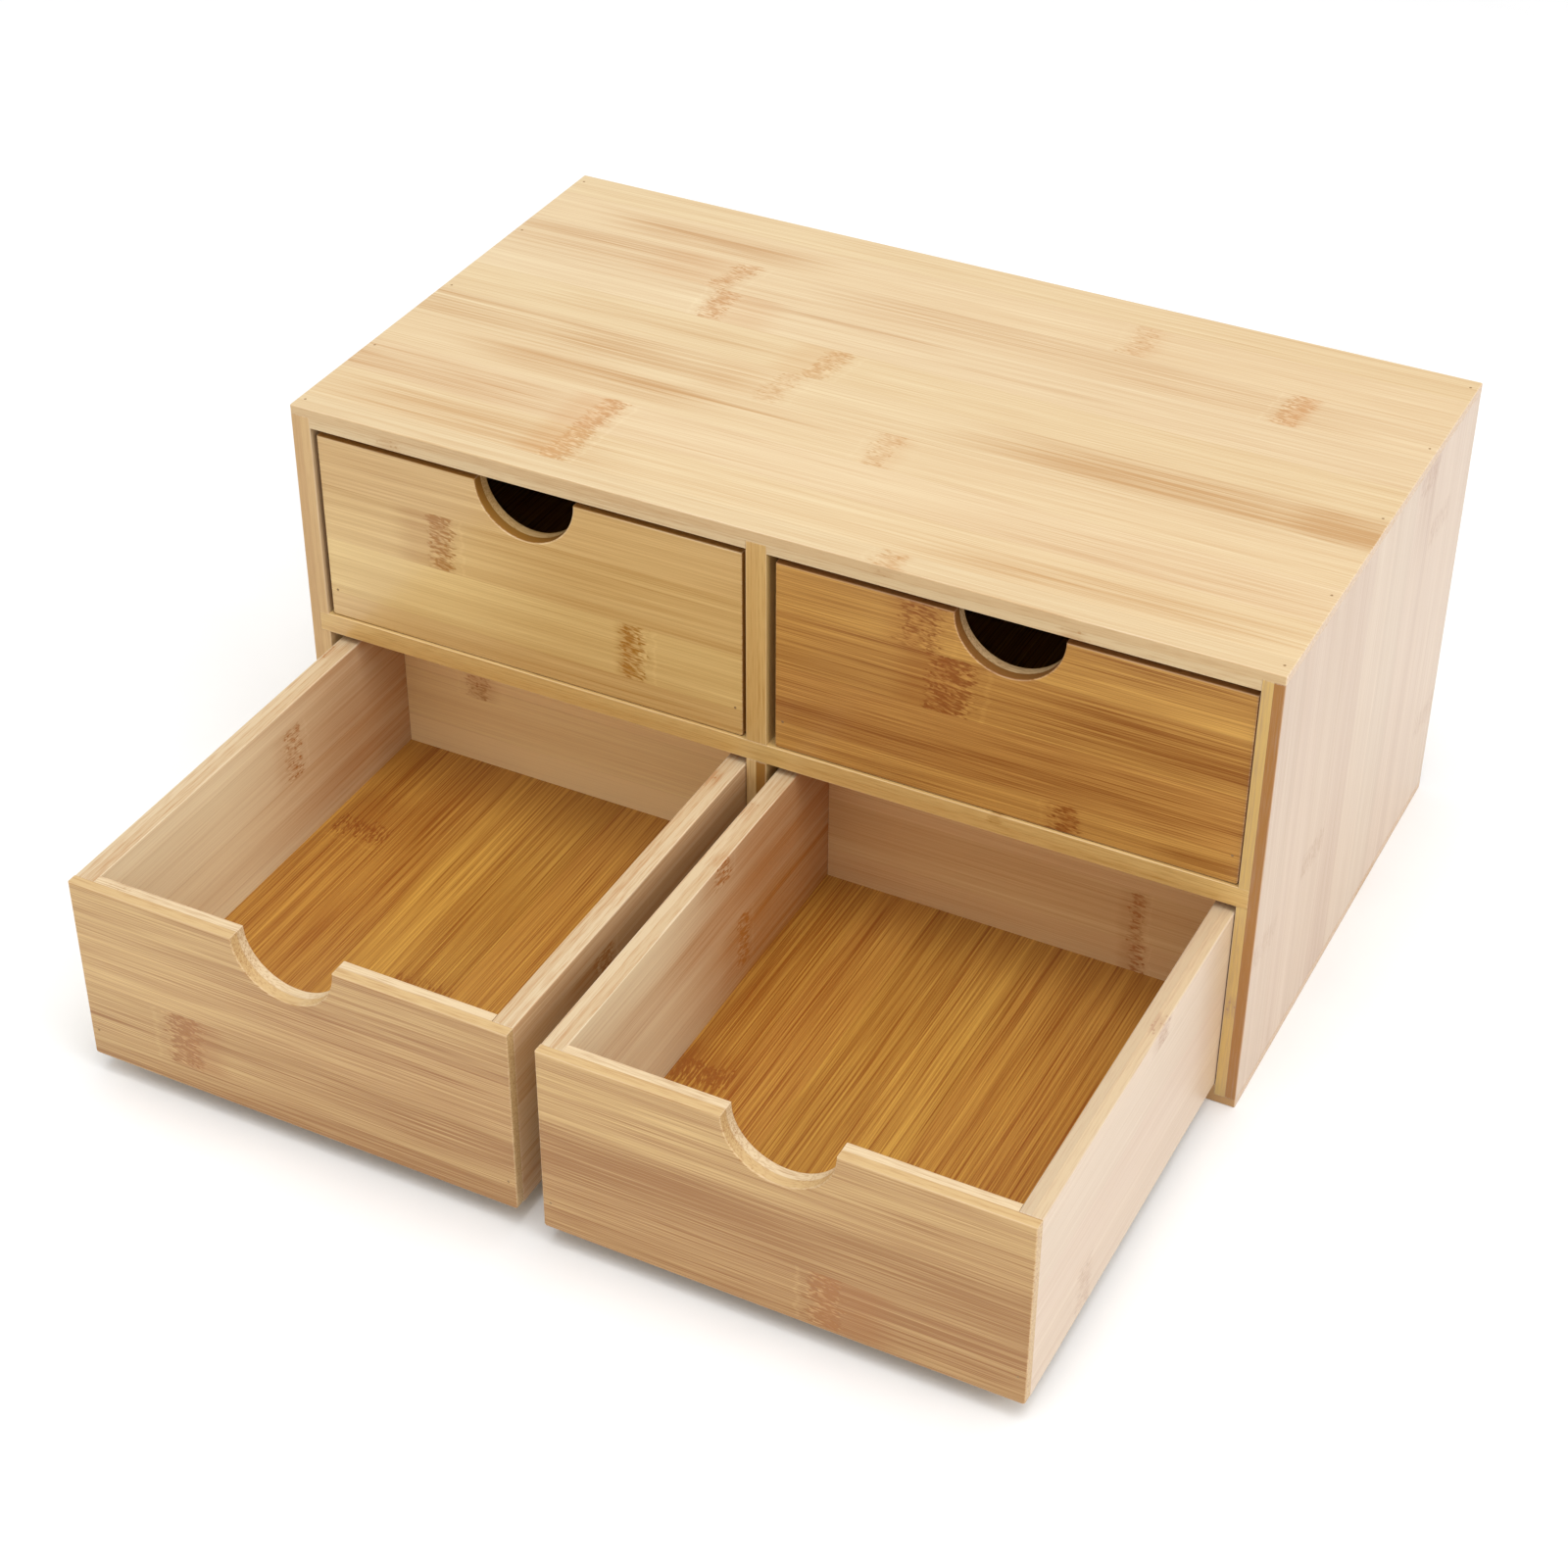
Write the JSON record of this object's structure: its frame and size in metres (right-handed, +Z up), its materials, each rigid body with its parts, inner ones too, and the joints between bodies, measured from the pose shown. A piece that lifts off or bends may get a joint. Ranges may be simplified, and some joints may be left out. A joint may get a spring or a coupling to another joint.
{
  "type": "desk organizer",
  "caption": "Bamboo desktop drawer case: thin boards nailed into a box, with shelf and dividers, and inset drawers with half-round finger notches.",
  "frame": {"origin": "centre of the underside of the case, on the surface that it stands on", "axes": "+X to the right seen from the front, +Y to the back, +Z up; the drawers open towards -Y"},
  "size_m": [0.33, 0.3322, 0.1605],
  "materials": {
    "bamboo_case": "satin lacquered laminated bamboo, light straw",
    "bamboo_front": "satin lacquered laminated bamboo, tan to orange-brown",
    "bamboo_wall": "satin lacquered laminated bamboo, pale tan",
    "bamboo_floor": "semi-gloss lacquered bamboo, amber",
    "brad_steel": "dull steel, stained"
  },
  "bodies": {
    "case": {"case_top": "bamboo_case", "case_bottom": "bamboo_case", "case_side_left": "bamboo_case", "case_side_right": "bamboo_case", "case_shelf": "bamboo_case", "case_divider_upper": "bamboo_case", "case_divider_lower": "bamboo_case", "case_back": "bamboo_case", "case_top_brads": "brad_steel", "case_bottom_brads": "brad_steel"},
    "upper_left_drawer": {"upper_left_front": "bamboo_front", "upper_left_side_left": "bamboo_wall", "upper_left_side_right": "bamboo_wall", "upper_left_back": "bamboo_wall", "upper_left_floor": "bamboo_floor", "upper_left_brads": "brad_steel"},
    "upper_right_drawer": {"upper_right_front": "bamboo_front", "upper_right_side_left": "bamboo_wall", "upper_right_side_right": "bamboo_wall", "upper_right_back": "bamboo_wall", "upper_right_floor": "bamboo_floor", "upper_right_brads": "brad_steel"},
    "lower_left_drawer": {"lower_left_front": "bamboo_front", "lower_left_side_left": "bamboo_wall", "lower_left_side_right": "bamboo_wall", "lower_left_back": "bamboo_wall", "lower_left_floor": "bamboo_floor", "lower_left_brads": "brad_steel"},
    "lower_right_drawer": {"lower_right_front": "bamboo_front", "lower_right_side_left": "bamboo_wall", "lower_right_side_right": "bamboo_wall", "lower_right_back": "bamboo_wall", "lower_right_floor": "bamboo_floor", "lower_right_brads": "brad_steel"}
  },
  "joints": [
    {"name": "upper_left_slide", "type": "slide", "parent": "case", "child": "upper_left_drawer", "axis": [0, -1, 0], "range_m": [0, 0.15]},
    {"name": "upper_right_slide", "type": "slide", "parent": "case", "child": "upper_right_drawer", "axis": [0, -1, 0], "range_m": [0, 0.15]},
    {"name": "lower_left_slide", "type": "slide", "parent": "case", "child": "lower_left_drawer", "axis": [0, -1, 0], "range_m": [-0.145, 0.005]},
    {"name": "lower_right_slide", "type": "slide", "parent": "case", "child": "lower_right_drawer", "axis": [0, -1, 0], "range_m": [-0.147, 0.003]}
  ]
}
